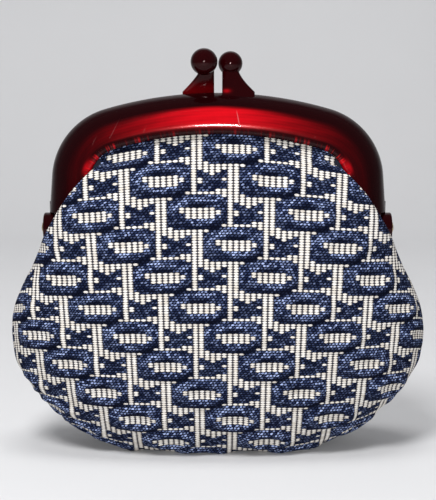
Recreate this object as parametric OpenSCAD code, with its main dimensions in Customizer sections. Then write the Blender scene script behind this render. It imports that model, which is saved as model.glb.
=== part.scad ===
// Clasp purse of woven cloth on a two-piece hinged frame.
// X runs to the right, the front faces -Y, Z is up, and the purse stands on Z = 0. Millimetres.
// Each half of the frame is one moulding: a hood with a groove inside, two ears and a ball on top.

/* [Frame arch] */
// height of the hinge axis above the table
hinge_height = 65; // [60:0.5:75]
// rise of the arch above the hinge axis
frame_rise = 39.8; // [36:0.2:44]
// radius of the wide arc over the top
crown_radius = 118; // [105:1:135]
// sideways reach of the wide arc, as a share of its radius
crown_share = 0.28; // [0.25:0.01:0.3]
// radius of the two round corners
corner_radius = 22.2; // [20:0.2:24]
// outward lean of the side arms, as sideways run per length
arm_lean_share = 0.07584; // [0.05:0.00001:0.1]
// straight stock of each arm before its end is trimmed
arm_stock = 16; // [15:0.5:20]
// gap between the two halves when closed
mating_gap = 0.3; // [0.2:0.05:0.5]

/* [Hood section] */
// radius of the hood's quarter round
hood_radius = 10; // [9.5:0.1:10.5]
// how far the centre of that round lies behind the mating plane
hood_offset = 2; // [1.8:0.1:2.2]
// thickness of the hood
hood_wall = 2; // [1.6:0.1:2.2]
// straight part of the lip below the round
lip_length = 1; // [0.6:0.1:1.4]
// thickness of the flat wall behind the groove
back_wall = 1.75; // [1.4:0.05:2]
// how far that wall reaches inward
back_wall_reach = 9; // [7:0.5:10]
// where that wall starts inside the hood
back_wall_root = 1.2; // [1:0.1:1.5]

/* [Hinge] */
// radius of the round ears
ear_radius = 4.4; // [4:0.1:4.6]
// thickness of an ear
ear_thickness = 3.1; // [2.6:0.1:3.3]
// inner face of the front half's ears
ear_inner_x = 44.7; // [44.5:0.1:45.5]
// free gap between neighbouring faces at the hinge
ear_gap = 0.3; // [0.25:0.05:0.4]
// how far the neck of an ear runs up into its arm
ear_neck = 3; // [2:0.5:4]
// depth of that neck
ear_neck_depth = 4; // [3:0.2:4.2]
// width of the outer ear's neck, hidden behind the arm's edge
outer_neck_width = 1.5; // [1.2:0.1:1.6]
// radius of the hinge pin
pin_radius = 1; // [0.8:0.1:1.2]
// running clearance round the pin
pin_clearance = 0.05; // [0.03:0.01:0.1]
// radius of the pin's two heads
pin_head_radius = 1.8; // [1.5:0.1:2]
// thickness of a pin head
pin_head = 0.7; // [0.5:0.1:0.8]

/* [Clasp] */
// radius of the front half's ball
front_ball_radius = 3.45; // [3.2:0.05:3.5]
// radius of the rear half's ball
rear_ball_radius = 3.9; // [3.6:0.05:3.95]
// sideways place of the front half's ball
front_ball_x = 3.7; // [3.7:0.05:4]
// sideways place of the rear half's ball
rear_ball_x = 3.95; // [3.9:0.05:4.2]
// height of the front half's ball above the crown
front_ball_height = 8.3; // [8:0.1:9]
// height of the rear half's ball above the crown
rear_ball_height = 8.9; // [8.5:0.1:9.5]
// how far a ball leans past the mating plane
ball_lean = 2.2; // [1.5:0.1:2.5]
// inner end of a post's foot, sideways
post_foot_inner = 3.3; // [3:0.1:3.6]
// outer end of a post's foot, sideways
post_foot_outer = 8.6; // [8:0.1:9]
// radius of a post's foot
post_foot_radius = 2.3; // [2:0.1:2.4]
// how far a post's foot is sunk into the crown
post_foot_sink = 1.7; // [1.4:0.1:2]
// radius of a post's neck as a share of its ball's
post_neck_share = 0.72; // [0.6:0.01:0.8]
// height of a post's neck above the crown
post_neck_height = 5.2; // [4.8:0.1:5.6]

/* [Cloth] */
// half of the pouch's greatest width
pouch_half_width = 61; // [58:0.5:63]
// greatest depth of one panel from the mid plane
pouch_half_depth = 21.9; // [20:0.2:24]
// height of the woven panel's top edge, hidden in the groove
panel_height = 96; // [95:0.2:96.4]
// thickness of the woven cloth
cloth_thickness = 1.2; // [0.9:0.1:1.3]
// thickness of the lining
lining_thickness = 0.5; // [0.3:0.1:0.6]
// gap between the woven cloth and the hood inside the groove
groove_gap = 0.5; // [0.4:0.05:0.6]
// gap between the woven cloth and the lining inside the groove
lining_gap = 0.3; // [0.2:0.05:0.4]
// gap between the edges of the front and the back cloth
seam_gap = 0.3; // [0.2:0.05:0.4]
// fullness of a row's curve, one is an ellipse and less is squarer
fullness_share = 0.85; // [0.75:0.01:1]

/* [Weave] */
// height of the raised navy rings above the ground
weave_relief = 0.6; // [0.3:0.05:0.7]
// sideways repeat of the rings
ring_repeat = 28.8; // [26:0.2:31]
// step from one row of rings to the next
ring_row = 9; // [8:0.2:10]
// half length of a ring
ring_half_length = 8.6; // [7.5:0.1:9.5]
// half height of a ring
ring_half_height = 4.7; // [4:0.1:5.2]
// place of one ring, sideways from the middle
ring_start = 5.6; // [0:0.2:28]
// place of the same ring, along the cloth from the bottom seam
ring_level = 78; // [70:0.5:85]

/* [Wedge cord] */
// radius of the cord that wedges the cloth in the groove
cord_radius = 0.55; // [0.45:0.05:0.6]
// depth of the cord behind the mating plane
cord_depth = 2.7; // [2.65:0.05:2.75]
// how far the cord lies inside the arch's outline
cord_inset = 6.8; // [6:0.1:8]

/* [Hidden] */
$fn = 64;
half_gap = mating_gap / 2;
crown_z = hinge_height + frame_rise;
crown_centre_z = crown_z - crown_radius;
crown_half_angle = asin(crown_share);
arm_lean = asin(arm_lean_share);
// the sweeps run a little past their ends and are cut back to the planes where they meet
spare_angle = 2;
// the corner's centre lies on the line from the crown's centre to the end of its arc
corner_x = (crown_radius - corner_radius) * sin(crown_half_angle);
corner_z = crown_centre_z + (crown_radius - corner_radius) * cos(crown_half_angle);
arm_end_z = hinge_height + ear_radius + ear_gap;
lip_inset = hood_radius + lip_length;
hood_depth = hood_radius - hood_offset;
panel_groove_depth = hood_depth - hood_wall - groove_gap;
lining_groove_depth = panel_groove_depth - cloth_thickness - lining_gap;
seam_depth = seam_gap / 2;
outer_ear_x = ear_inner_x + ear_thickness + ear_gap;
pin_inner_x = ear_inner_x - pin_clearance;
pin_outer_x = outer_ear_x + ear_thickness + pin_clearance;
cord_sides = 8;
panel_rows = 52;
panel_columns = 32;
lining_rows = 18;
lining_columns = 14;
curve_steps = 18;

// Cloth curves, as points along the cloth from the bottom seam up to the groove.
// A lower point is a share of the way from the seam's depth out to the belly's and a share of the height.
panel_lower_shares = [[0, 0], [0.245, 0], [0.497, 0], [0.697, 0.021], [0.848, 0.065], [0.945, 0.127],
    [0.991, 0.208], [1, 0.292]];
lining_lower_shares = [[0, 0.017], [0.222, 0.017], [0.462, 0.018], [0.637, 0.035], [0.77, 0.073],
    [0.857, 0.133], [0.903, 0.21], [0.908, 0.292]];
// An upper point is a share of the way from the groove's depth out to the belly's and a share of the height.
panel_upper_shares = [[0.976, 0.385], [0.909, 0.484], [0.799, 0.583], [0.665, 0.682], [0.512, 0.776],
    [0.354, 0.859], [0.213, 0.9125], [0.073, 0.942], [0.006, 0.966], [0, 1]];
lining_upper_shares = [[0.849, 0.383], [0.754, 0.474], [0.592, 0.5625], [0.402, 0.641], [0.223, 0.714],
    [0.123, 0.781], [0.067, 0.854], [0.022, 0.911], [0, 0.948], [0, 1.008]];
// An edge point is a share of the middle's length, of the half width, of the hood's depth and of the height.
panel_edge_shares = [[0, 0.656, 0, 0.069], [0.07, 0.73, 0, 0.1], [0.132, 0.803, 0, 0.135],
    [0.197, 0.895, 0, 0.198], [0.263, 0.967, 0, 0.274], [0.333, 1, 0, 0.359], [0.404, 0.989, 0, 0.432],
    [0.482, 0.948, 0, 0.5], [0.561, 0.897, 0.025, 0.5625], [0.623, 0.862, 0.2, 0.6125],
    [0.675, 0.836, 0.6, 0.651], [0.728, 0.802, 0.79, 0.691], [0.789, 0.751, 0.98, 0.744],
    [0.833, 0.702, 1.13, 0.789], [0.87, 0.643, 1.2, 0.831], [0.899, 0.597, 1.12, 0.859],
    [0.923, 0.557, 0.81, 0.876], [0.939, 0.561, 0.69, 0.892], [0.965, 0.577, 0.68, 0.9125],
    [1, 0.541, 0.69, 0.942]];
lining_edge_shares = [[0, 0.633, 0, 0.079], [0.072, 0.705, 0, 0.11], [0.135, 0.78, 0, 0.145],
    [0.203, 0.87, 0, 0.205], [0.27, 0.939, 0, 0.277], [0.342, 0.97, 0, 0.359], [0.414, 0.959, 0, 0.427],
    [0.495, 0.911, 0, 0.494], [0.558, 0.846, 0, 0.546], [0.612, 0.77, 0, 0.594], [0.657, 0.721, 0.06, 0.631],
    [0.711, 0.702, 0.28, 0.677], [0.756, 0.692, 0.45, 0.719], [0.801, 0.684, 0.5, 0.76],
    [0.855, 0.672, 0.5, 0.823], [0.9, 0.659, 0.5, 0.875], [0.945, 0.615, 0.5, 0.923], [1, 0.528, 0.5, 0.958]];
// share of a low row that lies flat on the table, and the share of the cloth where that ends
flat_share = 0.45;
flat_end_share = 0.32;
// shares of the cloth's length where the relief starts and where it goes under the lip
relief_share = [0.1, 0.15, 0.87, 0.91];
// ring's crest and softness, as shares of the way from its middle to its rim
crest_share = 0.68;
soft_share = 0.3;
// share of the way out to the side seam where the relief starts to fade
fade_share = 0.9;

// Frame

// Section of one half, x from the arch's outline inward and y from the mating plane forward.
module hood_section() {
    intersection() {
        translate([hood_radius, -hood_offset]) difference() {
            circle(hood_radius);
            circle(hood_radius - hood_wall);
        }
        translate([0, half_gap]) square([hood_radius, hood_radius]);
    }
    lip_depth = hood_depth - hood_wall / 2;
    translate([hood_radius, lip_depth - hood_wall / 2]) square([lip_length, hood_wall]);
    translate([lip_inset, lip_depth]) circle(hood_wall / 2);
    translate([back_wall_root, half_gap]) square([back_wall_reach - back_wall_root, back_wall]);
    translate([back_wall_reach, half_gap + back_wall / 2]) circle(back_wall / 2);
}

// Section of the wedge cord in the same axes.
module cord_section() {
    translate([cord_inset, cord_depth]) circle(cord_radius, $fn = cord_sides);
}

// The plane where the crown meets the right corner: everything on one side of it.
module beyond_crown(side) {
    translate([0, crown_centre_z]) rotate(90 - crown_half_angle)
        translate([0, side > 0 ? 0 : -crown_radius, -crown_radius / 2])
            cube([2 * crown_radius, crown_radius, crown_radius]);
}

// The wide arc over the top, swept from its right end and cut at its left end.
module crown() {
    difference() {
        translate([0, crown_centre_z]) rotate(90 - crown_half_angle)
            rotate_extrude(angle = 2 * crown_half_angle + spare_angle)
                translate([crown_radius, 0]) mirror([1, 0]) children();
        mirror([1, 0]) beyond_crown(-1);
    }
}

// The right corner, swept up from its arm to the crown's end, and the straight arm below it.
module corner_and_arm() {
    difference() {
        translate([corner_x, corner_z]) rotate(arm_lean)
            rotate_extrude(angle = 90 - crown_half_angle - arm_lean + spare_angle)
                translate([corner_radius, 0]) mirror([1, 0]) children();
        beyond_crown(1);
    }
    translate([corner_x, corner_z]) rotate(arm_lean) rotate([90, 0, 0]) linear_extrude(arm_stock)
        translate([corner_radius, 0]) mirror([1, 0]) children();
}

// Sweeps a section along the whole arch and cuts the arms level above the ears.
module arch() {
    difference() {
        rotate([90, 0, 0]) union() {
            crown() children();
            corner_and_arm() children();
            mirror([1, 0]) corner_and_arm() children();
        }
        translate([-pouch_half_width, -pouch_half_width, 0])
            cube([2 * pouch_half_width, 2 * pouch_half_width, arm_end_z]);
    }
}

// A round ear on the right side with the neck that ties it to its arm, bored for the pin.
module ear(x, neck_width) {
    difference() {
        union() {
            translate([x, 0, hinge_height]) rotate([0, 90, 0]) cylinder(r = ear_radius, h = ear_thickness);
            translate([x, -half_gap - ear_neck_depth, hinge_height])
                cube([neck_width, ear_neck_depth, ear_radius + ear_gap + ear_neck]);
        }
        translate([x - ear_gap, 0, hinge_height]) rotate([0, 90, 0])
            cylinder(r = pin_radius + pin_clearance, h = ear_thickness + 2 * ear_gap);
    }
}

// A clasp ball on its leaning post. The post's foot stays on its own side of the mating plane.
module clasp(ball_x, ball_radius, ball_height) {
    lean = ball_lean * post_neck_height / ball_height;
    translate([ball_x, ball_lean, crown_z + ball_height]) sphere(ball_radius);
    difference() {
        hull() {
            for (x = [post_foot_inner, post_foot_outer])
                translate([x, -half_gap - post_foot_radius, crown_z - post_foot_sink])
                    sphere(post_foot_radius, $fn = 16);
            translate([ball_x, lean - half_gap, crown_z + post_neck_height])
                sphere(post_neck_share * ball_radius, $fn = 16);
        }
        translate([-hood_radius, -half_gap, crown_z - hood_radius])
            cube([3 * hood_radius, hood_radius, hood_radius + ear_gap]);
    }
}

module front_frame() {
    color([0.36, 0.02, 0.05]) union() {
        arch() hood_section();
        clasp(front_ball_x, front_ball_radius, front_ball_height);
        for (side = [0, 1]) mirror([side, 0, 0]) ear(ear_inner_x, ear_thickness);
    }
}

module rear_frame() {
    color([0.3, 0.01, 0.03]) mirror([0, 1, 0]) union() {
        arch() hood_section();
        mirror([1, 0, 0]) clasp(rear_ball_x, rear_ball_radius, rear_ball_height);
        for (side = [0, 1]) mirror([side, 0, 0]) ear(outer_ear_x, outer_neck_width);
    }
}

// Headed pin through both ears of the right side.
module right_hinge_pin() {
    color([0.75, 0.6, 0.3]) translate([pin_inner_x - pin_head, 0, hinge_height]) rotate([0, 90, 0]) {
        cylinder(r = pin_head_radius, h = pin_head);
        cylinder(r = pin_radius, h = pin_outer_x - pin_inner_x + 2 * pin_head);
        translate([0, 0, pin_outer_x - pin_inner_x + pin_head]) cylinder(r = pin_head_radius, h = pin_head);
    }
}

module left_hinge_pin() {
    mirror([1, 0, 0]) right_hinge_pin();
}

module front_wedge_cord() {
    color([0.8, 0.75, 0.62]) arch() cord_section();
}

module rear_wedge_cord() {
    mirror([0, 1, 0]) front_wedge_cord();
}

// Cloth

// Smooth curve through points, in equal steps from each point to the next.
function smooth(points) = let(n = len(points) - 1) concat([for (i = [0:n - 1]) each let(
    a = i > 0 ? points[i - 1] : 2 * points[0] - points[1], b = points[i], c = points[i + 1],
    d = i < n - 1 ? points[i + 2] : 2 * points[n] - points[n - 1])
    [for (m = [0:curve_steps - 1]) let(f = m / curve_steps)
        b + f / 2 * ((c - a) + f * ((2 * a - 5 * b + 4 * c - d) + f * (3 * (b - c) + d - a)))]], [points[n]]);

// Length along a curve up to each of its points.
function lengths(curve) = [for (i = 0, s = 0; i < len(curve);
    s = s + (i + 1 < len(curve) ? norm(curve[i + 1] - curve[i]) : 0), i = i + 1) s];

// Tables against the share of the cloth's length: the middle's depth and height, then the
// edge's width, depth and height.
function cloth_tables(lower_shares, upper_shares, edge_shares, groove_depth) = let(
    middle = smooth([for (part = [[lower_shares, seam_depth], [upper_shares, groove_depth]]) for (p = part[0])
        [part[1] + p[0] * (pouch_half_depth - part[1]), p[1] * panel_height]]),
    edge = smooth([for (p = edge_shares)
        [p[0], p[1] * pouch_half_width, max(seam_depth, p[2] * hood_depth), p[3] * panel_height]]),
    s = lengths(middle), last = len(s) - 1)
    concat([for (axis = [0:1]) [for (i = [0:last]) [s[i] / s[last], middle[i][axis]]]],
        [for (axis = [1:3]) [for (p = edge) [p[0], p[axis]]]]);

function ease(a, b, t) = let(f = min(max((t - a) / (b - a), 0), 1)) f * f * (3 - 2 * f);

// One row across a panel: its middle depth and height, and the edge's width, depth and height.
function row_values(tables, t) = [for (table = tables) lookup(t, table)];

// Point of a row at an angle, 0 in the middle and 90 at the right edge.
function row_point(row, t, angle) = let(
    across = pow(abs(sin(angle)), fullness_share),
    out = pow(max(cos(angle), 0), fullness_share),
    flat = flat_share * (1 - ease(0, flat_end_share, t)),
    lift = pow(max(0, (across - flat) / (1 - flat)), 2))
    [row[2] * across * sign(angle), -row[3] - (row[0] - row[3]) * out,
        max(0, row[1] + (row[4] - row[1]) * lift)];

// Length against angle from the middle of a row to its edge.
function row_lengths(row, t) = let(
    angles = [for (i = [0:curve_steps]) 90 * i / curve_steps],
    s = lengths([for (angle = angles) row_point(row, t, angle)]))
    [for (i = [0:curve_steps]) [s[i], angles[i]]];

// Grid of points, evenly spaced along every row, each with its place across the cloth.
function cloth_grid(tables, rows, columns) = [for (k = [0:rows]) let(
    t = k / rows, row = row_values(tables, t), lengths = row_lengths(row, t), half = lengths[curve_steps][0])
    [for (j = [0:columns]) let(s = 2 * j / columns - 1)
        [row_point(row, t, sign(s) * lookup(abs(s) * half, lengths)), s * half]]];

// Outward direction: square to the seam where the panels are sewn, square to the cloth elsewhere.
function outward(grid, k, j) = let(
    rows = len(grid) - 1, columns = len(grid[0]) - 1,
    up = grid[min(k + 1, rows)][j][0] - grid[max(k - 1, 0)][j][0],
    right = grid[k][min(j + 1, columns)][0] - grid[k][max(j - 1, 0)][0],
    rim = j == columns ? (k == 0 ? up + right : up) : j == 0 ? (k == 0 ? right - up : -up) : right,
    sewn = k == 0 || ((j == 0 || j == columns) && grid[k][j][0][1] > -cloth_thickness),
    n = sewn ? [rim[2], 0, -rim[0]] : cross(right, up))
    n / norm(n);

// Height of the raised navy rings at a place on the cloth.
function rings(u, v) = let(
    nearest = round((v - ring_level) / ring_row))
    max([for (i = [nearest - 1:nearest + 1]) let(
        gone = u - ring_start + i * ring_repeat / 3,
        du = gone - ring_repeat * round(gone / ring_repeat),
        dv = v - ring_level - i * ring_row,
        rho = norm([du / ring_half_length, dv / ring_half_height]))
        exp(-pow((rho - crest_share) / soft_share, 2))]);

function relief(u, v, t, s) = weave_relief * rings(u, v) * ease(relief_share[0], relief_share[1], t)
    * (1 - ease(relief_share[2], relief_share[3], t)) * (1 - ease(fade_share, 1, abs(s)));

function loop(rows, columns, step) = let(c = columns / step, r = rows / step, w = c + 1) concat(
    [for (j = [0:c - 1]) j], [for (k = [0:r - 1]) k * w + c],
    [for (j = [c:-1:1]) r * w + j], [for (k = [r:-1:1]) k * w]);

// Triangles of a grid, mirrored about its middle so that no thin one falls on the seam.
function grid_faces(rows, columns, first, turned) = [for (k = [0:rows - 1]) for (j = [0:columns - 1]) let(
    a = first + k * (columns + 1) + j, b = a + 1, d = a + columns + 1, c = d + 1,
    pair = j < columns / 2 ? [[a, d, c], [a, c, b]] : [[a, d, b], [d, c, b]])
    for (f = pair) turned ? [f[0], f[2], f[1]] : f];

// A curved sheet: a fine outer face with relief, an inner face at every step-th point, and the rim.
module sheet(tables, rows, columns, step, thickness, raised) {
    grid = cloth_grid(tables, rows, columns);
    length = lengths([for (row = grid) row[columns / 2][0]])[rows];
    outer = [for (k = [0:rows]) for (j = [0:columns]) let(p = grid[k][j][0], u = grid[k][j][1], t = k / rows)
        raised ? p + outward(grid, k, j) * relief(u, length * t, t, 2 * j / columns - 1) : p];
    inner = [for (k = [0:step:rows]) for (j = [0:step:columns]) let(
        p = grid[k][j][0] - outward(grid, k, j) * thickness) [p[0], min(p[1], -seam_depth), p[2]]];
    first = len(outer);
    fine = loop(rows, columns, 1);
    coarse = [for (i = loop(rows, columns, step)) first + i];
    count = len(coarse);
    half = ceil(step / 2);
    rim = [for (m = [0:count - 1]) let(next = coarse[(m + 1) % count]) each concat(
        [for (i = [0:step - 1]) [fine[step * m + i], fine[(step * m + i + 1) % len(fine)],
            i < step / 2 ? coarse[m] : next]],
        [[fine[(step * m + half) % len(fine)], next, coarse[m]]])];
    polyhedron(concat(outer, inner), concat(grid_faces(rows, columns, 0, false),
        grid_faces(rows / step, columns / step, first, true), rim), convexity = 6);
}

module front_panel() {
    tables = cloth_tables(panel_lower_shares, panel_upper_shares, panel_edge_shares, panel_groove_depth);
    color([0.16, 0.2, 0.36]) sheet(tables, panel_rows, panel_columns, 2, cloth_thickness, true);
}

module back_panel() {
    mirror([0, 1, 0]) front_panel();
}

module front_lining() {
    tables = cloth_tables(lining_lower_shares, lining_upper_shares, lining_edge_shares, lining_groove_depth);
    color([0.1, 0.11, 0.18]) sheet(tables, lining_rows, lining_columns, 1, lining_thickness, false);
}

module back_lining() {
    mirror([0, 1, 0]) front_lining();
}

front_frame();
rear_frame();
left_hinge_pin();
right_hinge_pin();
front_panel();
back_panel();
front_lining();
back_lining();
front_wedge_cord();
rear_wedge_cord();
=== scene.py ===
import bpy
import numpy as np
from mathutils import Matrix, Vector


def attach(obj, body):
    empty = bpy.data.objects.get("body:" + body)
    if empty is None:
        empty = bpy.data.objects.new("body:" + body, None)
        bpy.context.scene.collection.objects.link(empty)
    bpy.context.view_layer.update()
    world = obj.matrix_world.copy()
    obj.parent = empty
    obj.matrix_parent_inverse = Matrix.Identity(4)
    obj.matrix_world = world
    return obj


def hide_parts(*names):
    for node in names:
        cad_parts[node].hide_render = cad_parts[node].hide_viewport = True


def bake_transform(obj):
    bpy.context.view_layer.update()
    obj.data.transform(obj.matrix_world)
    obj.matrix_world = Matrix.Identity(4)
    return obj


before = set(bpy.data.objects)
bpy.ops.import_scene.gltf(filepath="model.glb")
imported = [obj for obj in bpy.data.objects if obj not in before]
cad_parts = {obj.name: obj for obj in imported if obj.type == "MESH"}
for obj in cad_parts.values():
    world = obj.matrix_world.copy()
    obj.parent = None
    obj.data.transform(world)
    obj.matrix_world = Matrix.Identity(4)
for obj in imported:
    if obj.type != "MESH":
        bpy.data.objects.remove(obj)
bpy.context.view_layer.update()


# Frame halves
# Each half is one moulding of dark ruby plastic: a quarter-round hood with a lip, a groove behind it that
# grips the cloth, two ears at its lower ends and a post with a ball. The rear half mirrors the front.
# Sizes are in millimetres, and put_mesh makes them metres.
MM = 0.001
HINGE_Z = 65.0
CROWN_Z = 104.8
CROWN_RADIUS = 118.0
CROWN_SHARE = 0.28
CORNER_RADIUS = 22.2
ARM_LEAN = 0.07584
ARM_END_Z = 69.7
HALF_GAP = 0.02
HOOD_RADIUS = 10.0
HOOD_OFFSET = 2.0
HOOD_DEPTH = HOOD_RADIUS - HOOD_OFFSET
HOOD_WALL = 2.0
LIP_INSET = 11.0
BACK_WALL = 1.88
BACK_WALL_REACH = 9.0
MATING_EDGE = [(0.95, 0.0), (0.55, 0.03), (0.35, 0.14)]
MATING_EDGE_TURN = 2.5
OUTER_POINTS = 44
INNER_POINTS = 20
END_POINTS = 13
EAR_WIDTH = 3.1
EAR_RADIUS = 4.4
EAR_BORE = 1.05
EAR_EDGE = 0.5
NECK_HEIGHT = 7.7
NECK_HALF_DEPTH = 2.0
# A ball's place x and y, its height above the crown and its radius
FRONT_BALL = (3.72, 2.2, 8.2, 3.55)
REAR_BALL = (3.95, 2.2, 8.7, 3.9)
# A post's inner side, its waist, the spread of its foot and the power of the curve between them
FRONT_POST = (1.3, 6.2, 4.6, 1.4)
REAR_POST = (1.0, 5.4, 4.9, 1.25)


def turn(start, end, count):
    """Angles from start to end, in degrees, as an array of radians."""
    return np.radians(np.linspace(start, end, count))


def ease(low, high, x):
    """Smooth step from 0 at low to 1 at high: 3 f^2 - 2 f^3 of the share f of the way."""
    f = np.clip((x - low) / (high - low), 0, 1)
    return f * f * (3 - 2 * f)


def hood_outline():
    """Section of the hood as a closed loop of (inset from the arch's outline, depth behind the mating
    plane): the softened mating edge, the outer round, the lip's round end, the inner round, and the back
    wall's round end."""
    inner = HOOD_RADIUS - HOOD_WALL
    wall_face = HALF_GAP + BACK_WALL
    mating_turn = np.degrees(np.arcsin((HOOD_OFFSET + HALF_GAP) / HOOD_RADIUS))
    inner_end = np.degrees(np.arcsin((HOOD_OFFSET + wall_face) / inner))

    def hood_round(radius, angle):
        inset = HOOD_RADIUS - radius * np.cos(angle)
        return np.stack([inset, radius * np.sin(angle) - HOOD_OFFSET], axis=1)

    def round_end(inset, depth, radius):
        angle = turn(90, -90, END_POINTS)
        return np.stack([inset + radius * np.cos(angle), depth + radius * np.sin(angle)], axis=1)

    return np.vstack([
        np.array(MATING_EDGE) + [0, HALF_GAP],
        hood_round(HOOD_RADIUS, turn(mating_turn + MATING_EDGE_TURN, 90, OUTER_POINTS)),
        round_end(LIP_INSET, HOOD_DEPTH - HOOD_WALL / 2, HOOD_WALL / 2),
        hood_round(inner, turn(90, inner_end, INNER_POINTS)),
        round_end(BACK_WALL_REACH, HALF_GAP + BACK_WALL / 2, BACK_WALL / 2),
    ])


def arch(section):
    """Carries a section along the arch, from the left arm's end over the crown to the right arm's end.
    A station is its centre + (radius - inset) x outward normal, and on an arm a slide down to its level
    end."""
    crown_end = np.arcsin(CROWN_SHARE)
    arm_start = np.pi / 2 - np.arcsin(ARM_LEAN)
    crown = np.linspace(0, crown_end, 90)
    corner = np.linspace(crown_end, arm_start, 70)[1:]
    slide = np.linspace(0, 1, 25)[1:]
    angle = np.concatenate([crown, corner, np.full(len(slide), arm_start)])
    normal = np.stack([np.sin(angle), np.cos(angle)], axis=1)
    on_crown = (np.arange(len(angle)) < len(crown))[:, None]
    crown_centre = np.array([0, CROWN_Z - CROWN_RADIUS])
    corner_centre = crown_centre + (CROWN_RADIUS - CORNER_RADIUS) * normal[len(crown) - 1]
    radius = np.where(on_crown, CROWN_RADIUS, CORNER_RADIUS)
    centre = np.where(on_crown, crown_centre, corner_centre)
    flat = centre[:, None] + (radius - section[:, 0])[..., None] * normal[:, None]
    down = np.array([np.cos(arm_start), -np.sin(arm_start)])
    share = np.concatenate([np.zeros(len(angle) - len(slide)), slide])[:, None]
    flat = flat + (share * (flat[..., 1] - ARM_END_Z) / -down[1])[..., None] * down
    depth = np.broadcast_to(-section[:, 1], flat.shape[:2])
    right = np.stack([flat[..., 0], depth, flat[..., 1]], axis=2)
    return np.concatenate([right[:0:-1] * [-1, 1, 1], right])


def ball(x, y, height, radius):
    """Ball of the clasp as rings from its bottom to its top."""
    tilt = turn(0.6, 179.4, 49)[:, None]
    angle = turn(0, 360, 65)[None, :-1]
    reach = radius * np.sin(tilt)
    up = np.broadcast_to(CROWN_Z + height - radius * np.cos(tilt), (tilt.size, angle.size))
    return np.stack([x + reach * np.cos(angle), y + reach * np.sin(angle), up], axis=2)


def squared_round(angle, power):
    """Cosine and sine of an angle, each with its size raised to a power below 1, to square a round."""
    return [np.sign(wave) * np.abs(wave) ** power for wave in (np.cos(angle), np.sin(angle))]


def post(inner, waist, spread, curl, ball_y, ball_height):
    """Post under a ball as rings over the height h above the crown. Its inner side is upright and its
    outer side is x = waist + spread (1 - h / 6)^curl; it leans from its own half of the frame to under the
    ball and grows from 0.95 to 1.55 in half depth."""
    foot, foot_y = -2.2, -2.0
    waist_height, thick_height = 6, 5
    h = np.linspace(foot, ball_height - 1, 40)[:, None]
    outer = waist + spread * np.clip(1 - h / waist_height, 0, 1) ** curl
    half_depth = 0.95 + 0.6 * ease(0, thick_height, h)
    bend_x, bend_y = squared_round(turn(0, 360, 65)[None, :-1], 0.75)
    y = foot_y + (ball_y - foot_y) * (h - foot) / (ball_height - foot) + half_depth * bend_y
    x = (inner + outer) / 2 + (outer - inner) / 2 * bend_x
    return np.stack([x, y, np.broadcast_to(CROWN_Z + h, y.shape)], axis=2)


def turned(profile, steps):
    """Rings of a profile of (place along x, radius) turned about the hinge axis."""
    angle = turn(0, 360, steps + 1)[:-1]
    across = np.broadcast_to(profile[:, :1], (len(profile), steps))
    y, z = profile[:, 1:] * np.sin(angle), HINGE_Z + profile[:, 1:] * np.cos(angle)
    return np.stack([across, y, z], axis=2)


def ear(x):
    """Ear round the hinge axis, from x outwards: a disk with rounded rims, turned from its profile."""
    bend = turn(0, 90, 7)
    rim = EAR_RADIUS - EAR_EDGE + EAR_EDGE * np.sin(bend)
    near = np.stack([x + EAR_EDGE - EAR_EDGE * np.cos(bend), rim], axis=1)
    far = near[::-1] * [-1, 1] + [2 * x + EAR_WIDTH, 0]
    return turned(np.vstack([[x, EAR_BORE], near, far, [x + EAR_WIDTH, EAR_BORE]]), 72)


def ear_neck(x, width):
    """Rounded block that ties an ear to its arm: superellipse rings of exponent 6 over the height."""
    z = np.linspace(HINGE_Z, HINGE_Z + NECK_HEIGHT, 8)[:, None]
    bend_x, bend_y = squared_round(turn(0, 360, 41)[None, :-1], 1 / 3)
    across = x + width / 2 * (1 + bend_x)
    deep = -HALF_GAP - NECK_HALF_DEPTH + NECK_HALF_DEPTH * bend_y
    return np.stack(np.broadcast_arrays(across, deep, z), axis=2)


def clasp_painted_glow(x, height, side):
    """Painted light of a post and its ball, red light painted into their colour as if it came through the
    plastic: the front post as a painted highlight in a spot at its foot,
    0.5 exp(-((x - 2.6) / 1.2)^2 - ((height - 0.3) / 0.6)^2), and the rear one in its lower part."""
    # Painted highlight in a spot at the front post's foot, painted red light in the rear post's lower part
    spot = 0.5 * np.exp(-((x - 2.6) / 1.2) ** 2 - ((height - 0.3) / 0.6) ** 2)
    foot = 0.22 * (1 - ease(0.5, 4.5, height))
    return 0.06 + (spot if side > 0 else foot)


def hood_painted_glow(hood, section):
    """Painted light of the hood, from the inset q and the sideways place x: red light painted into its
    colour as if it came through the plastic. The thin face below the rim glows by step(3.5, 4.9 + 0.05
    |x|, q) (1 - step(9.2, 10.4, q)), times 0.1 + 0.26 exp(-(x / 36)^4) + 0.54 exp(-(x / 17)^2), brightest
    in the middle, and faint brush marks along the arch. The lip has painted reflection streaks across it,
    stronger towards the corners, and a painted highlight at each corner, near z = 83.5."""
    front = np.arange(len(section)) < len(MATING_EDGE) + OUTER_POINTS + END_POINTS
    dark_inset = 3.0
    q = np.where(front, section[:, 0], dark_inset)[None]
    x = hood[:, :1, 0]
    run = np.arange(len(hood))[:, None]
    # Painted red light on the thin face, brightest in the middle of the crown
    face = ease(3.5, 4.9 + 0.05 * np.abs(x), q) * (1 - ease(9.2, 10.4, q))
    along = 0.1 + 0.26 * np.exp(-(x / 36) ** 4) + 0.54 * np.exp(-(x / 17) ** 2)
    brush = 1 + 0.16 * np.sin(5.1 * q + 0.07 * run) * np.sin(2.3 * q - 0.043 * run)
    # Painted reflection streaks across the lip
    painted_streak = np.clip(np.sin(run * 1.7) + np.sin(run * 0.61 + 1) + np.sin(run * 0.23), 0, None) / 3
    lip = ease(10.2, 11.0, q) * painted_streak * 0.85 * (0.4 + 0.6 * ease(12, 36, np.abs(x)))
    # Painted highlight at each corner of the lip
    painted_gleam = 0.6 * ease(9.0, 10.2, q) * np.exp(-((hood[:, :, 2] - 83.5) / 2.2) ** 2)
    return (face * along * brush + lip + painted_gleam * front).ravel()


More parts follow.
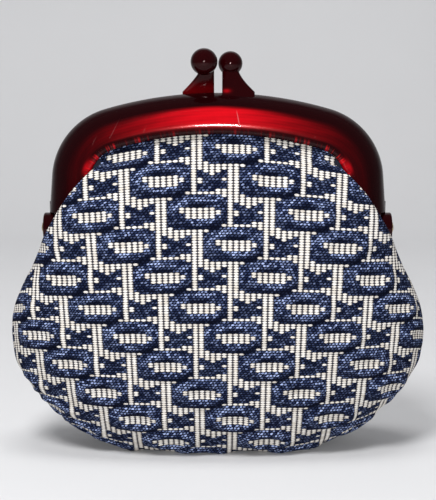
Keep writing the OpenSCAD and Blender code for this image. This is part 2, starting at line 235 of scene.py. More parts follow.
def lattice(rows, columns, wrap):
    """Quads of a grid of points, row by row. With wrap, the last column joins the first."""
    ids = np.arange(rows * columns).reshape(rows, columns)
    ids = np.concatenate([ids, ids[:, :1]], axis=1) if wrap else ids
    corners = [ids[:-1, :-1], ids[:-1, 1:], ids[1:, 1:], ids[1:, :-1]]
    return np.stack(corners, axis=2).reshape(-1, 4)


def flipped(faces):
    """The same faces, turned to look the other way."""
    return [f[:, ::-1] for f in faces]


def tube(grid):
    """Closed shell from rings of points: the grid's quads and a cap on each end ring. The sign of its
    volume, from the corners' triple products, says whether faces have to be flipped to look outwards."""
    rows, columns = grid.shape[:2]
    points = grid.reshape(-1, 3)
    quads = lattice(rows, columns, True)
    corner = points[quads]
    volume = np.einsum("ij,ij->i", corner[:, 0], np.cross(corner[:, 1], corner[:, 2]))
    volume += np.einsum("ij,ij->i", corner[:, 0], np.cross(corner[:, 2], corner[:, 3]))
    first = np.arange(columns)[None, ::-1]
    last = np.arange(columns)[None] + (rows - 1) * columns
    faces = [quads, first, last]
    return points, faces if volume.sum() > 0 else flipped(faces)


def put_mesh(name, points, faces):
    """Mesh object from points in millimetres and lists of faces, each an array of equal-sided faces."""
    mesh = bpy.data.meshes.new(name)
    corners = np.concatenate([f.ravel() for f in faces]).astype(np.int32)
    sides = np.concatenate([np.full(len(f), f.shape[1]) for f in faces])
    starts = np.concatenate([[0], np.cumsum(sides)[:-1]]).astype(np.int32)
    mesh.vertices.add(len(points))
    mesh.vertices.foreach_set("co", (points * MM).astype(np.float32).ravel())
    mesh.loops.add(len(corners))
    mesh.loops.foreach_set("vertex_index", corners)
    mesh.polygons.add(len(sides))
    mesh.polygons.foreach_set("loop_start", starts)
    mesh.update(calc_edges=True)
    mesh.polygons.foreach_set("use_smooth", np.ones(len(sides), dtype=bool))
    piece = bpy.data.objects.new(name, mesh)
    bpy.context.scene.collection.objects.link(piece)
    return piece


def join_shells(name, shells):
    """One mesh object from several closed shells, smooth up to edges of 42 degrees."""
    starts = np.cumsum([0] + [len(points) for points, faces in shells])
    faces = [f + start for (points, group), start in zip(shells, starts) for f in group]
    piece = put_mesh(name, np.vstack([points for points, group in shells]), faces)
    piece.data.set_sharp_from_angle(angle=np.radians(42))
    return piece


def mark(piece, name, values, domain="POINT"):
    """Stores one number per point or face on a piece, for its material to read."""
    layer = piece.data.attributes.new(name, "FLOAT", domain)
    layer.data.foreach_set("value", values.astype(np.float32))


def half_frame(name, side, ear_x, neck_width, ball_sizes, post_sizes):
    """One half of the frame. Side is 1 for the front and -1 for the rear, whose clasp is on the left and
    whose shells are mirrored in y."""
    section = hood_outline()
    hood = arch(section)
    shells = [tube(hood)]
    # Painted red light for each point, stored for the plastic's colour to read
    painted_glow = [hood_painted_glow(hood, section)]
    for shell in (post(*post_sizes, *ball_sizes[1:3]), ball(*ball_sizes)):
        shells.append(tube(shell * [side, 1, 1]))
        painted_glow.append(clasp_painted_glow(shell[..., 0].ravel(), shell[..., 2].ravel() - CROWN_Z, side))
    for mirror in (1, -1):
        for shell in (ear(ear_x), ear_neck(ear_x, neck_width)):
            shells.append(tube(shell * [mirror, 1, 1]))
            painted_glow.append(np.full(shell.shape[0] * shell.shape[1], 0.05))
    if side < 0:
        shells = [(points * [1, -1, 1], flipped(faces)) for points, faces in shells]
    piece = join_shells(name, shells)
    mark(piece, "painted_glow", np.concatenate(painted_glow))
    return piece


class Value:
    """A number socket of a material: arithmetic on it adds Math nodes."""

    def __init__(self, finish, socket):
        self.finish, self.socket = finish, socket

    def math(self, operation, *others):
        return self.finish.node("Math", {"operation": operation}, self, *others)

    def __add__(self, other):
        return self.math("ADD", other)

    def __mul__(self, other):
        return self.math("MULTIPLY", other)

    def __sub__(self, other):
        return self.math("SUBTRACT", other)

    def __rsub__(self, other):
        return self.finish.node("Math", {"operation": "SUBTRACT"}, other, self)

    def __pow__(self, other):
        return self.math("POWER", other)

    __radd__, __rmul__ = __add__, __mul__


class Finish:
    """A material with one shader."""

    def __init__(self, name, **constants):
        self.material = bpy.data.materials.new(name)
        self.material.use_nodes = True
        self.tree = self.material.node_tree
        self.shader = self.tree.nodes["Principled BSDF"]
        self.set(self.shader, constants)

    def put(self, socket, value):
        """Links a value to a socket, or sets the socket to a number, a colour or a vector."""
        if isinstance(value, Value):
            self.tree.links.new(value.socket, socket)
        else:
            socket.default_value = value

    def set(self, node, sockets):
        """Fills a node's sockets by name."""
        for name, value in sockets.items():
            self.put(node.inputs[name.replace("_", " ")], value)

    def node(self, kind, settings, *values, output=0, **named):
        """Adds a node: its type, its settings, then its sockets' values, in order or by name. None in the
        order skips a socket."""
        node = self.tree.nodes.new("ShaderNode" + kind)
        for name, value in settings.items():
            setattr(node, name, value)
        for socket, value in zip(node.inputs, values):
            if value is not None:
                self.put(socket, value)
        self.set(node, named)
        return Value(self, node.outputs[output])

    def place(self):
        """Place in the object's own axes, in metres."""
        return self.node("TexCoord", {}, output="Object")

    def stored(self, name):
        """The number that mark() stored on the piece."""
        return self.node("Attribute", {"attribute_name": name}, output="Fac")

    def mix(self, share, first, second):
        """Colour from first to second by a share. The sockets between are for numbers and vectors."""
        skipped = [None] * 5
        return self.node("Mix", {"data_type": "RGBA"}, share, *skipped, first, second, output=2)

    def smooth(self, value, low, high):
        """Smooth step of a value from low to high."""
        return self.node("MapRange", {"interpolation_type": "SMOOTHSTEP"}, value, low, high)

    def noise(self, place, scale, detail=3.0):
        """Soft noise from 0 to 1."""
        return self.node("TexNoise", {}, Vector=place, Scale=scale, Detail=detail)

    def chance(self, column, row):
        """A number from 0 to 1 of its own for each cell of a column and a row."""
        cell = self.node("CombineXYZ", {}, column, row)
        return self.node("TexWhiteNoise", {"noise_dimensions": "2D"}, Vector=cell)

    def bump(self, height, distance, strength=1.0):
        """Relief of the surface from a height, at most a distance in metres."""
        normal = self.node("Bump", {}, Height=height, Distance=distance, Strength=strength)
        self.put(self.shader.inputs["Normal"], normal)

    def dress(self, *pieces):
        """Gives pieces this material alone."""
        for piece in pieces:
            piece.data.materials.clear()
            piece.data.materials.append(self.material)


def ruby_plastic():
    """Polished plastic: near black, and red where the stored painted light says so, a red painted into the
    colour as if light came through, with a few fine slanting scratches, stretched noise cut off high, and
    slight clouding."""
    near_black, red = (0.009, 0.0004, 0.0009, 1), (0.52, 0.003, 0.008, 1)
    scratched = (0.7, 0.35, 0.36, 1)
    slants = ((0.45, (0.0005, 0.017, 0.009)), (-0.2, (0.00045, 0.017, 0.011)))
    plastic = Finish("ruby_plastic", IOR=1.5, Specular_IOR_Level=0.1, Specular_Tint=(1, 0.4, 0.4, 1),
                     Coat_Weight=0.2, Coat_Roughness=0.04)
    place = plastic.place()
    painted_glow = plastic.stored("painted_glow")
    cloud = plastic.noise(place, 260.0)
    lines = []
    for slant, grain in slants:
        turning = {"vector_type": "TEXTURE"}
        slanted = plastic.node("Mapping", turning, place, (0, 0, 0), (0, slant, 0), grain)
        lines.append(plastic.smooth(plastic.noise(slanted, 1.0, 0.0), 0.82, 0.9))
    marks = lines[0].math("MAXIMUM", lines[1])
    # lit is the share of painted red light, from the stored attribute and the clouding
    lit = plastic.smooth(painted_glow + (cloud - 0.5) * 0.2 * painted_glow, 0.0, 1.05)
    colour = plastic.mix(marks * lit * 0.25, plastic.mix(lit, near_black, red), scratched)
    roughness = cloud * 0.07 + marks * 0.25 + 0.09
    plastic.set(plastic.shader, {"Base Color": colour, "Roughness": roughness})
    plastic.bump(marks * -1.0 + cloud * 0.2, 0.00004, 0.6)
    return plastic


ruby = ruby_plastic()
for node, body, side, ear_x, neck_width, ball_sizes, post_sizes in (
        ("front_frame", "front_half", 1, 44.7, 3.1, FRONT_BALL, FRONT_POST),
        ("rear_frame", "rear_half", -1, 48.1, 1.5, REAR_BALL, REAR_POST)):
    piece = half_frame(node + "_moulding", side, ear_x, neck_width, ball_sizes, post_sizes)
    ruby.dress(piece)
    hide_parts(node)
    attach(piece, body)


# Hinge pins
# A short headed pin of drawn brass wire goes through the two ears on each side, and its ends are
# riveted over into low domes.
PIN_INNER_X = 44.65
PIN_OUTER_X = 51.25
PIN_RADIUS = 1.0
HEAD_RADIUS = 1.8
HEAD_HEIGHT = 0.7


def pin():
    """Pin turned about the hinge axis: a shank between two domed heads with softened rims."""
    bend = turn(0, 84, 9)
    dome = np.stack([PIN_INNER_X - HEAD_HEIGHT * np.cos(bend), HEAD_RADIUS * np.sin(bend)], axis=1)
    dome[0, 1] = 0.02
    rim = [[PIN_INNER_X - 0.02, HEAD_RADIUS], [PIN_INNER_X, HEAD_RADIUS - 0.05]]
    half = np.vstack([dome, rim, [PIN_INNER_X, PIN_RADIUS]])
    return turned(np.vstack([half, half[::-1] * [-1, 1] + [PIN_INNER_X + PIN_OUTER_X, 0]]), 48)


def drawn_brass():
    """Dulled brass wire: brown tarnish in soft patches, rougher where it is tarnished."""
    bright, brown = (0.62, 0.45, 0.2, 1), (0.2, 0.12, 0.06, 1)
    brass = Finish("drawn_brass", Metallic=1.0)
    tarnish = brass.smooth(brass.noise(brass.place(), 900.0), 0.4, 0.7)
    colour = brass.mix(tarnish, bright, brown)
    brass.set(brass.shader, {"Base Color": colour, "Roughness": tarnish * 0.25 + 0.28})
    return brass


brass = drawn_brass()
for name, mirror in (("left", -1), ("right", 1)):
    piece = join_shells(name + "_pin_riveted", [tube(pin() * [mirror, 1, 1])])
    brass.dress(piece)
    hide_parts(name + "_hinge_pin")
    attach(piece, "rear_half")


# Wedge cords
# A cord of twisted buff paper lies in each groove. It is pushed in last and wedges the cloth and the
# lining against the hood.
def twisted_paper():
    """Buff paper twist: slanting ridges with painted shade in a darker line between them, and fine fibres.
    """
    shaded, buff = (0.36, 0.28, 0.18, 1), (0.76, 0.67, 0.5, 1)
    paper = Finish("twisted_paper", Roughness=0.85)
    place = paper.place()
    slanting = {"bands_direction": "DIAGONAL"}
    twist = paper.node("TexWave", slanting, Vector=place, Scale=500.0, Distortion=1.0)
    fibre = paper.noise(place, 4000.0)
    # Painted shade in the grooves of the twist, mixed with the fibres
    paper.set(paper.shader, {"Base Color": paper.mix(twist * 0.6 + fibre * 0.3, shaded, buff)})
    paper.bump(twist + fibre * 0.3, 0.0001)
    return paper


twisted_paper().dress(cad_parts["front_wedge_cord"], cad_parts["rear_wedge_cord"])


# Lining
# Plain dark cotton, cut a little smaller than the woven cloth and sewn into the same seams. It follows
# the pouch loosely, with soft upright folds below the groove where its fullness is taken in.
HALF_WIDTH = 61.0
HALF_DEPTH = 21.9
PANEL_HEIGHT = 96.0
SEAM_DEPTH = 0.01
LINING_GROOVE_DEPTH = 4.0
# The middle line from the bottom seam up, as shares of the way out to the belly, from the seam's depth in
# its lower part and from the groove's depth in its upper part, and shares of the height
LINING_LOWER = [[0, 0.017], [0.222, 0.017], [0.462, 0.018], [0.637, 0.035], [0.77, 0.073],
                [0.857, 0.133], [0.903, 0.21], [0.908, 0.292]]
LINING_UPPER = [[0.849, 0.383], [0.754, 0.474], [0.592, 0.5625], [0.402, 0.641], [0.223, 0.714],
                [0.123, 0.781], [0.067, 0.854], [0.022, 0.911], [0, 0.948], [0, 1.008]]
# The sides, as shares of the sheet's length, the half width, the hood's depth and the height
LINING_EDGE = [[0, 0.633, 0, 0.079], [0.072, 0.705, 0, 0.11], [0.135, 0.78, 0, 0.145],
               [0.203, 0.87, 0, 0.205], [0.27, 0.939, 0, 0.277], [0.342, 0.97, 0, 0.359],
               [0.414, 0.959, 0, 0.427], [0.495, 0.911, 0, 0.494], [0.558, 0.846, 0, 0.546],
               [0.612, 0.77, 0, 0.594], [0.657, 0.721, 0.06, 0.631], [0.711, 0.702, 0.28, 0.677],
               [0.756, 0.692, 0.45, 0.719], [0.801, 0.684, 0.5, 0.76], [0.855, 0.672, 0.5, 0.823],
               [0.9, 0.659, 0.5, 0.875], [0.945, 0.615, 0.5, 0.923], [1, 0.528, 0.5, 0.958]]


def smooth_curve(points):
    """Smooth curve through points: for a share f of the way from b to c, with a before and d after,
    b + f/2 ((c - a) + f ((2a - 5b + 4c - d) + f (3(b - c) + d - a)))."""
    q = np.vstack([2 * points[:1] - points[1:2], points, 2 * points[-1:] - points[-2:-1]])
    a, b, c, d = (q[k:len(q) - 3 + k, None] for k in range(4))
    f = np.linspace(0, 1, 24, endpoint=False)[None, :, None]
    spans = b + f / 2 * ((c - a) + f * ((2 * a - 5 * b + 4 * c - d) + f * (3 * (b - c) + d - a)))
    return np.vstack([spans.reshape(-1, points.shape[1]), points[-1:]])


def cloth_form(lower_shares, upper_shares, edge_shares, groove_depth, rows, columns):
    """Form of one sheet: its length, the half length of each row, and a grid of points over t, the share
    of the length from the bottom seam to the groove, and s, the share of a row's half length, -1 to 1.
    A row bends as x = w |sin a|^0.85 and y = -(ye + (yc - ye) cos(a)^0.85) and lifts towards its ends. Its
    middle stays level, over 45 % of it at the bottom seam and less above."""
    power = 0.85

    def depths(shares, start):
        shares = np.array(shares)
        out = start + shares[:, 0] * (HALF_DEPTH - start)
        return np.stack([out, shares[:, 1] * PANEL_HEIGHT], axis=1)

    lower, upper = depths(lower_shares, SEAM_DEPTH), depths(upper_shares, groove_depth)
    middle = smooth_curve(np.vstack([lower, upper]))
    run = np.concatenate([[0], np.cumsum(np.linalg.norm(np.diff(middle, axis=0), axis=1))])
    edge = np.array(edge_shares) * [1, HALF_WIDTH, HOOD_DEPTH, PANEL_HEIGHT]
    edge[:, 2] = np.maximum(edge[:, 2], SEAM_DEPTH)
    edge = smooth_curve(edge)
    t = np.linspace(0, 1, rows)[:, None]
    yc, zc = (np.interp(t, run / run[-1], middle[:, k]) for k in range(2))
    w, ye, ze = (np.interp(t, edge[:, 0], edge[:, k]) for k in range(1, 4))
    level = 0.45 * (1 - ease(0, 0.32, t))

    def bend(angle):
        across = np.abs(np.sin(angle)) ** power
        out = np.clip(np.cos(angle), 0, 1) ** power
        lift = np.clip((across - level) / (1 - level), 0, None) ** 2
        z = np.maximum(zc + (ze - zc) * lift, 0)
        return np.stack([w * across * np.sign(angle), -ye - (yc - ye) * out, z], axis=-1)

    angles = turn(0, 90, 181)
    steps = np.linalg.norm(np.diff(bend(angles[None]), axis=1), axis=2)
    lengths = np.concatenate([np.zeros((rows, 1)), np.cumsum(steps, axis=1)], axis=1)
    half = lengths[:, -1:]
    s = np.linspace(-1, 1, columns)[None]
    # One interpolation serves all rows, which lie end to end, 1000 mm apart
    apart = 1000.0 * np.arange(rows)[:, None]
    wanted = (np.abs(s) * half + apart).ravel()
    angle = np.interp(wanted, (lengths + apart).ravel(), np.tile(angles, rows))
    return run[-1], half, bend(angle.reshape(rows, columns) * np.sign(s))


def outward(grid):
    """Unit normals of a sheet, from the cross product of its steps across and along."""
    normal = np.cross(np.gradient(grid, axis=1), np.gradient(grid, axis=0))
    return normal / np.maximum(np.linalg.norm(normal, axis=2, keepdims=True), 1e-9)


def map_threads(piece, threads, faces):
    """Stores the cloth's own place, across and along, as the piece's texture map."""
    corners = np.concatenate([f.ravel() for f in faces])
    layer = piece.data.uv_layers.new(name="thread")
    layer.data.foreach_set("uv", threads[corners].astype(np.float32).ravel())


def thread_place(finish):
    """The cloth's own place in a material: as a vector, across, and along."""
    place = finish.node("UVMap", {"uv_map": "thread"})
    across = finish.node("SeparateXYZ", {}, place)
    return place, across, Value(finish, across.socket.node.outputs[1])


def lining(name, side):
    """Lining sheet as a grid of rows, pushed in along its normal by folds
    0.4 (1 + cos(0.9 u + sin 9t)) step(0.3, 0.6, t) (1 - step(0.72, 0.84, t)) millimetres deep."""
    rows, columns = 150, 181
    length, half, form = cloth_form(LINING_LOWER, LINING_UPPER, LINING_EDGE, LINING_GROOVE_DEPTH,
                                    rows, columns)
    t = np.linspace(0, 1, rows)[:, None]
    u = np.linspace(-1, 1, columns)[None] * half
    folds = 0.4 * (1 + np.cos(0.9 * u + np.sin(9 * t))) * ease(0.3, 0.6, t) * (1 - ease(0.72, 0.84, t))
    grid = form - outward(form) * folds[..., None]
    grid[..., 1] = np.minimum(grid[..., 1], -SEAM_DEPTH)
    faces = [lattice(rows, columns, False)]
    faces = faces if side > 0 else flipped(faces)
    piece = put_mesh(name, (grid * [1, side, 1]).reshape(-1, 3), faces)
    threads = np.stack([u, np.broadcast_to(length * t, u.shape)], axis=2)
    map_threads(piece, threads.reshape(-1, 2), faces)
    return piece, length


def plain_cotton():
    """Dark plain weave: threads over and under every 0.35 mm, from the product of two waves of the
    cloth's own place, with soft slubs."""
    dark, light = (0.012, 0.014, 0.026, 1), (0.05, 0.056, 0.09, 1)
    cotton = Finish("plain_cotton", Roughness=0.9, Sheen_Weight=0.25, Sheen_Roughness=0.5)
    place, across, along = thread_place(cotton)
    weave = (across * 9.0).math("SINE") * (along * 9.0).math("SINE") * 0.5 + 0.5
    slub = cotton.noise(place, 0.8)
    cotton.set(cotton.shader, {"Base Color": cotton.mix(weave * 0.5 + slub * 0.5, dark, light)})
    cotton.bump(weave, 0.00012)
    return cotton


cotton = plain_cotton()
for half, side, body in (("front", 1, "front_half"), ("back", -1, "rear_half")):
    piece, length = lining(half + "_lining_cloth", side)
    cotton.dress(piece)
    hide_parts(half + "_lining")
    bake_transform(piece)


# Woven panels
# Coarse tapestry cloth of navy and cream yarn, front and back, sewn together at the sides and the bottom
# and wedged into the grooves. Ovals stand up as padded rings between double cream ribs, and each row of
# them is moved a third of the repeat to the right of the row above.
WARPS_PER_REPEAT = 18
WARPS_PER_ROW = 6
PICKS_PER_ROW = 12
POINTS_PER_WARP = 4
POINTS_PER_PICK = 2
OVAL_WARP = 7.5
OVAL_PICK = 6.0
OVAL_HALF_WARPS = 5.4
OVAL_HALF_PICKS = 6.3
PADDING_HEIGHT = 1.1
FIRST_WARP = -44
LAST_WARP = 53
OVAL_U = 5.4
WARP_STEP = 1.761
TOP_ROW_V = 106.2
ROW_STEP = 9.91
ROW_CLOSING = 0.127
HEM_DEPTH = 1.0
PANEL_GROOVE_DEPTH = 5.5
# The middle line and the sides, in the same shares as the lining's
PANEL_LOWER = [[0, 0], [0.245, 0], [0.497, 0], [0.697, 0.021], [0.848, 0.065], [0.945, 0.127],
               [0.991, 0.208], [1, 0.292]]
PANEL_UPPER = [[0.976, 0.385], [0.909, 0.484], [0.799, 0.583], [0.665, 0.682], [0.512, 0.776],
               [0.354, 0.859], [0.213, 0.9125], [0.073, 0.942], [0.006, 0.966], [0, 1]]
PANEL_EDGE = [[0, 0.68, 0, 0.069], [0.07, 0.755, 0, 0.1], [0.132, 0.83, 0, 0.135],
              [0.197, 0.92, 0, 0.198], [0.263, 0.985, 0, 0.274], [0.333, 1.003, 0, 0.359],
              [0.404, 0.989, 0, 0.432], [0.482, 0.948, 0, 0.5], [0.561, 0.897, 0.025, 0.5625],
              [0.623, 0.862, 0.2, 0.6125], [0.675, 0.836, 0.6, 0.651], [0.728, 0.802, 0.79, 0.691],
              [0.789, 0.751, 0.98, 0.744], [0.833, 0.702, 1.13, 0.789], [0.87, 0.643, 1.2, 0.831],
              [0.899, 0.597, 1.12, 0.859], [0.923, 0.557, 0.81, 0.876], [0.939, 0.561, 0.69, 0.892],
              [0.965, 0.577, 0.68, 0.9125], [1, 0.541, 0.69, 0.942]]
# Cream areas of one repeat, as (first warp, end warp, first pick, end pick), counted from a double rib's
# left side and down from the row's top
RIBS = [(0, 1, 0, 12), (1, 2, 0, 12), (12, 13, 0, 11), (13, 14, 0, 2), (2, 3, 0, 1), (2, 3, 11, 12)]
STEPS = [(14, 15, 0, 3), (15, 16, 0, 4), (16, 17, 0, 3), (17, 18, 0, 2)]
OVAL_WINDOW = [(4, 5, 4, 6), (5, 10, 4, 8), (10, 11, 5, 6.5)]
DASHES = [(11, 16, 10, 11), (16, 17, 9, 11), (17, 18, 9, 12)]
DOTS = [(13, 14, 5, 7), (17, 18, 5, 6)]
CREAM = RIBS + STEPS + OVAL_WINDOW + DASHES + DOTS


def yarn_line(warp, pick):
    """Place on the form, across u and along v, of a warp and a pick. Rows of ovals close up towards the
    bottom, v = 106.2 - 9.91 n + 0.127 n^2 for row n, and sag by 0.0031 u^2 at the belly. Columns draw
    together downwards, by 0.0231 mm a warp for each row."""
    n = (pick - OVAL_PICK) / PICKS_PER_ROW
    u = OVAL_U - 0.045 * n + (WARP_STEP - 0.0231 * n) * (warp - OVAL_WARP)
    v = TOP_ROW_V - ROW_STEP * n + ROW_CLOSING * n ** 2
    return u, v - 0.0031 * u ** 2 * ease(2, 28, v) * (1 - ease(62, 94, v))


def pick_at(v):
    """Pick that crosses the middle of the panel at v, from the same row formula solved for n."""
    root = np.sqrt(ROW_STEP ** 2 - 4 * ROW_CLOSING * (TOP_ROW_V - v))
    return OVAL_PICK + PICKS_PER_ROW * ((ROW_STEP - root) / (2 * ROW_CLOSING))


def is_cream(warp, pick):
    """True where the face yarn is cream: the warp and the pick are counted within their row of ovals, and
    each row down moves 6 warps."""
    row = np.floor(pick / PICKS_PER_ROW)
    warp = np.mod(warp - WARPS_PER_ROW * row, WARPS_PER_REPEAT)
    pick = pick - PICKS_PER_ROW * row
    return np.any([(warp >= a) & (warp < b) & (pick >= c) & (pick < d) for a, b, c, d in CREAM], axis=0)


def padding(warp, pick):
    """Share of the full height of the ovals' padded rings, exp(-((rho - 0.68) / 0.3)^2), where rho is the
    distance from the nearest oval's middle in shares of its half length and half height."""
    best = 0
    nearest = np.round((pick - OVAL_PICK) / PICKS_PER_ROW)
    for row in (nearest - 1, nearest, nearest + 1):
        aside = warp - OVAL_WARP - WARPS_PER_ROW * row
        aside = aside - WARPS_PER_REPEAT * np.round(aside / WARPS_PER_REPEAT)
        above = pick - OVAL_PICK - PICKS_PER_ROW * row
        rho = np.hypot(aside / OVAL_HALF_WARPS, above / OVAL_HALF_PICKS)
        best = np.maximum(best, np.exp(-((rho - 0.68) / 0.3) ** 2))
    return best


def cloth_relief(warp, pick, t, from_seam):
    """Height of the cloth over its form: the padding and the yarns' rounded backs, which fade towards the
    bottom, the groove and the side seams, less the pinch along the side seams below the hinges."""
    warp_back = np.sin(np.pi * np.mod(warp, 1)) ** 0.7
    pick_back = np.sin(np.pi * np.mod(pick, 1))
    cream_back = 0.1 * warp_back + 0.12 * pick_back
    yarn = np.where(is_cream(warp + 0.01, pick + 0.01), cream_back, 0.05 * pick_back)
    shown = ease(0.02, 0.06, t) * (1 - ease(0.9, 0.93, t)) * ease(0.2, 14, from_seam)
    pinch = 0.7 * (1 - ease(0, 1.8, from_seam)) * (1 - ease(0.55, 0.6, t))
    return (PADDING_HEIGHT * padding(warp, pick) + yarn - 0.1) * shown - pinch


def navy_painted_shading(warp, pick):
    """Painted light and shade on the navy yarn, from 0 to 1: lighter on the padding and darker at its
    foot, lightest where it faces up or left, as if lit from the upper left, from the differences of the
    padding over a pick and over 0.8 warps."""
    facing_up = padding(warp, pick + 0.5) - padding(warp, pick - 0.5)
    facing_left = padding(warp + 0.4, pick) - padding(warp - 0.4, pick)
    # Painted shade at the rings' feet, painted light where the rolls face up or left
    painted_shading = 0.45 + 0.24 * padding(warp, pick) + 1.1 * facing_up + 0.5 * facing_left
    return np.clip(painted_shading, 0, 1)


def look_up(grid, t, s):
    """Values of a form's grid at shares t and s, linear between its points."""
    rows, columns = grid.shape[:2]
    place = np.stack([t * (rows - 1), (s + 1) / 2 * (columns - 1)])
    i, j = np.minimum(place.astype(int), np.array([rows - 2, columns - 2])[:, None, None])
    f, g = (place - [i, j])[..., None]
    low = grid[i, j] * (1 - g) + grid[i, j + 1] * g
    return low * (1 - f) + (grid[i + 1, j] * (1 - g) + grid[i + 1, j + 1] * g) * f


def cut_panel(warps, picks, inside):
    """Faces of the panel's grid, cut along both sides where a row ends: points past a row's end count as
    its end, so quads there become triangles or nothing. Gives the faces, which of them are cream, and the
    points round the rim."""
    count = len(warps)
    left = np.argmax(inside, axis=1) - 1
    right = count - np.argmax(inside[:, ::-1], axis=1)
    column = np.clip(np.arange(count)[None], left[:, None], right[:, None])
    ids = column + count * np.arange(len(picks))[:, None]
    a, b = ids[:-1, :-1].ravel(), ids[:-1, 1:].ravel()
    c, d = ids[1:, 1:].ravel(), ids[1:, :-1].ravel()
    middle_warp = warps[None, :-1] + 0.5 / POINTS_PER_WARP
    middle_pick = (picks[:-1] + picks[1:])[:, None] / 2
    cream = is_cream(*np.broadcast_arrays(middle_warp, middle_pick)).ravel()
    cuts = (((a, b, c, d), (a != b) & (c != d)), ((a, c, d), (a == b) & (c != d)),
            ((a, b, c), (a != b) & (c == d)))
    faces = [np.stack(corners, axis=1)[kept] for corners, kept in cuts]
    top, bottom = ids[-1, right[-1]:left[-1]:-1], ids[0, left[0]:right[0]]
    rim = np.concatenate([bottom, ids[:-1, -1], top, ids[:0:-1, 0]])
    return faces, [cream[kept] for corners, kept in cuts], rim


def woven_panel(name, side):
    """Panel as a grid of four points a warp and two a pick along the yarns, raised by its relief along
    the normal and cut along the sides. Its rim is turned in by a hem."""
    length, half, form = cloth_form(PANEL_LOWER, PANEL_UPPER, PANEL_EDGE, PANEL_GROOVE_DEPTH, 361, 721)
    warps = np.arange(FIRST_WARP, LAST_WARP + 0.1, 1 / POINTS_PER_WARP)
    first_pick = np.ceil(pick_at(length) * POINTS_PER_PICK) / POINTS_PER_PICK
    picks = np.arange(first_pick + 0.5, pick_at(0) - 0.1, 1 / POINTS_PER_PICK)
    picks = np.concatenate([[pick_at(0)], picks[::-1], [pick_at(length)]])
    warp, pick = np.broadcast_arrays(warps[None], picks[:, None])
    u, v = yarn_line(warp, pick)
    t = np.clip(v / length, 0, 1)
    reach = np.interp(t, np.linspace(0, 1, len(half)), half[:, 0])
    s = np.clip(u / reach, -1, 1)
    normal = look_up(outward(form), t, s)
    from_seam = np.maximum(reach - np.abs(u), 0)
    grid = look_up(form, t, s) + normal * cloth_relief(warp, pick, t, from_seam)[..., None]
    grid[..., 1] = np.minimum(grid[..., 1], -SEAM_DEPTH)
    grid[..., 2] = np.maximum(grid[..., 2], 0)

    faces, cream, rim = cut_panel(warps, picks, np.abs(u) < reach)
    hem = (grid - HEM_DEPTH * normal).reshape(-1, 3)[rim]
    hem[:, 1] = np.minimum(hem[:, 1], -SEAM_DEPTH)
    hem_ids = u.size + np.arange(len(rim))
    faces.append(np.stack([rim, hem_ids, np.roll(hem_ids, -1), np.roll(rim, -1)], axis=1))
    cream.append(np.zeros(len(rim), dtype=bool))

    used, fresh = np.unique(np.concatenate([f.ravel() for f in faces]), return_inverse=True)
    stops = np.cumsum([f.size for f in faces])[:-1]
    faces = [f.reshape(-1, old.shape[1]) for f, old in zip(np.split(fresh, stops), faces)]
    faces = faces if side > 0 else flipped(faces)
    points = np.vstack([grid.reshape(-1, 3), hem])[used]
    origin = np.concatenate([np.arange(u.size), rim])[used]
    piece = put_mesh(name, points * [1, side, 1], faces)
    map_threads(piece, np.stack([warp, pick], axis=2).reshape(-1, 2)[origin], faces)
    mark(piece, "cream", np.concatenate(cream), "FACE")
    # Stores the painted light and shade of the navy yarn
    mark(piece, "painted_shading", navy_painted_shading(warp, pick).ravel()[origin])
    return piece, length


def tapestry_cloth():
    """Woven face. Cream yarns show as pale bricks, one warp wide and one pick high, with dark notches
    between columns and faint lines between picks. Navy shows as short slanting dashes, 1.6 to a warp and
    staggered from pick to pick, each of its own brightness, made lighter and darker by the stored painted
    light and shade. Fine noise frays the edges of both."""
    dark_gap, black_gap = (0.03, 0.028, 0.04, 1), (0.003, 0.004, 0.012, 1)
    shaded_cream, light_cream = (0.60, 0.53, 0.44, 1), (0.86, 0.84, 0.81, 1)
    deep_blue, pale_blue = (0.036, 0.060, 0.172, 1), (0.43, 0.53, 0.86, 1)
    cloth = Finish("tapestry_cloth", Roughness=0.9, Specular_IOR_Level=0.05)
    place, warp, pick = thread_place(cloth)
    cream = cloth.stored("cream")
    painted_shading = cloth.stored("painted_shading")
    shade = cloth.noise(place, 0.37, 2.0)
    fibre = cloth.noise(place, 2.3) - 0.5
    row = pick.math("FLOOR")
    up = pick.math("FRACT")

    from_column = (warp.math("FRACT") * 2.0 - 1.0).math("ABSOLUTE")
    from_pick = (up * 2.0 - 1.0).math("ABSOLUTE")
    notch = from_column * from_column * (from_pick * from_pick * 0.4 + 0.8) + from_pick ** 2.5 * 0.56
    brick = 1 - cloth.smooth(notch + fibre * 0.5, 0.3, 0.82)
    own_shade = cloth.chance(warp.math("FLOOR"), row)
    pale = cloth.mix(shade * 0.8 + own_shade * 0.4, shaded_cream, light_cream)
    cream_yarn = cloth.mix(brick, dark_gap, pale)

    run = warp * 1.6 + row * 0.37 + pick * 0.3 + fibre * 1.1
    along = run.math("FRACT")
    dash = cloth.smooth(along * (1 - along) * 4.0 * (up * (1 - up) * 4.0) + fibre * 0.9, 0.2, 0.8)
    own_blue = cloth.chance(run.math("FLOOR"), row)
    # Painted light and shade: the stored shading lightens the navy where its rolls face up or left and
    # darkens their feet
    blue = cloth.mix(own_blue ** 1.6 * painted_shading, deep_blue, pale_blue)
    navy_yarn = cloth.mix(dash * (own_blue * 0.8 + 0.25) * (painted_shading * 1.4), black_gap, blue)

    cloth.set(cloth.shader, {"Base Color": cloth.mix(cream, navy_yarn, cream_yarn)})
    cloth.bump(cream * brick + (1 - cream) * dash, 0.00025)
    return cloth


tapestry = tapestry_cloth()
for half, side, body, holder in (("front", 1, "front_half", "front_frame"),
                                 ("back", -1, "rear_half", "rear_frame")):
    piece, length = woven_panel(half + "_panel_cloth", side)
    tapestry.dress(piece)
    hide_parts(half + "_panel")
    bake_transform(piece)


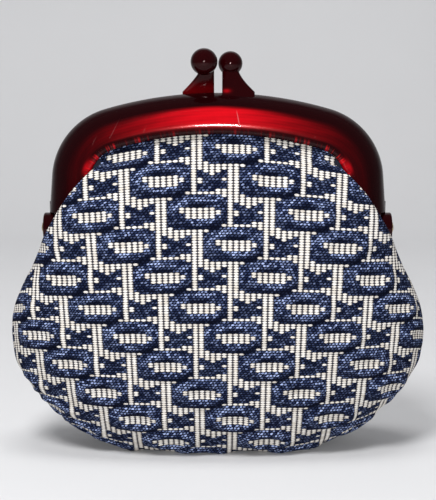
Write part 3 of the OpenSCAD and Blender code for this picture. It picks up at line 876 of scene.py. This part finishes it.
# Floor, light and camera
# A sweep of pale paper under a soft light from above, a small one in front, a weak fill and one on the
# backdrop. The camera looks down on the purse a little. Sizes here are in metres.
SWEEP_FRONT = -1.6
SWEEP_BEND = 0.45
SWEEP_RADIUS = 0.25
SWEEP_HEIGHT = 2.2
SWEEP_HALF_WIDTH = 2.2
CAMERA_DISTANCE = 0.4
CAMERA_RISE = np.radians(8)
VIEW_HEIGHT = 0.1482
SENSOR_HEIGHT = 24
AIM = np.array([0.0001, 0, 0.0582])


def paper_sweep():
    """Floor that curves up into a backdrop: y = bend + radius sin(a) and z = radius (1 - cos(a)) between
    two flats, of paper with faint clouds."""
    shaded, light = (0.66, 0.66, 0.67, 1), (0.70, 0.70, 0.71, 1)
    angle = turn(0, 90, 25)
    away = SWEEP_BEND + SWEEP_RADIUS * np.sin(angle)
    curve = np.stack([away, SWEEP_RADIUS * (1 - np.cos(angle))], axis=1)
    profile = np.vstack([[SWEEP_FRONT, 0], curve, [SWEEP_BEND + SWEEP_RADIUS, SWEEP_HEIGHT]])
    x = np.array([[-SWEEP_HALF_WIDTH, SWEEP_HALF_WIDTH]])
    grid = np.stack(np.broadcast_arrays(x, profile[:, :1], profile[:, 1:]), axis=2) / MM
    sweep = put_mesh("paper_sweep", grid.reshape(-1, 3), [lattice(len(profile), 2, False)])
    paper = Finish("sweep_paper", Roughness=0.9)
    cloud = paper.noise(paper.place(), 9.0)
    paper.set(paper.shader, {"Base Color": paper.mix(cloud, shaded, light)})
    paper.dress(sweep)


def aim_at(thing, point):
    """Turns a lamp or camera so that it looks from where it is to a point."""
    thing.rotation_euler = (Vector(point) - thing.location).to_track_quat("-Z", "Y").to_euler()


def soft_light(name, place, aim, size, watts, reflected):
    """Disk lamp; only the small one in front is mirrored by the plastic."""
    lamp = bpy.data.lights.new(name, "AREA")
    lamp.shape = "DISK"
    lamp.size = size
    lamp.energy = watts
    light = bpy.data.objects.new(name, lamp)
    light.location = place
    light.visible_glossy = reflected
    aim_at(light, aim)
    bpy.context.scene.collection.objects.link(light)


paper_sweep()
soft_light("key", (-0.16, -0.36, 0.62), (0, 0, 0.06), 0.25, 3.6, False)
soft_light("front", (0.0, -0.5, 0.14), (0, 0, 0.07), 0.04, 1.1, True)
soft_light("fill", (0.6, -0.5, 0.3), (0, 0, 0.05), 0.5, 0.5, False)
soft_light("backdrop", (0, 0.05, 1.0), (0, 0.7, 0.25), 0.5, 4.5, False)
world = bpy.data.worlds.new("studio")
world.use_nodes = True
background = world.node_tree.nodes["Background"]
background.inputs["Color"].default_value = (0.8, 0.82, 0.85, 1)
background.inputs["Strength"].default_value = 0.2
scene = bpy.context.scene
scene.world = world
scene.view_settings.view_transform = "Standard"

camera_data = bpy.data.cameras.new("camera")
camera_data.sensor_fit = "VERTICAL"
camera_data.sensor_height = SENSOR_HEIGHT
camera_data.lens = SENSOR_HEIGHT * CAMERA_DISTANCE / VIEW_HEIGHT
camera = bpy.data.objects.new("camera", camera_data)
camera.location = AIM + CAMERA_DISTANCE * np.array([0, -np.cos(CAMERA_RISE), np.sin(CAMERA_RISE)])
aim_at(camera, AIM)
scene.collection.objects.link(camera)
scene.camera = camera
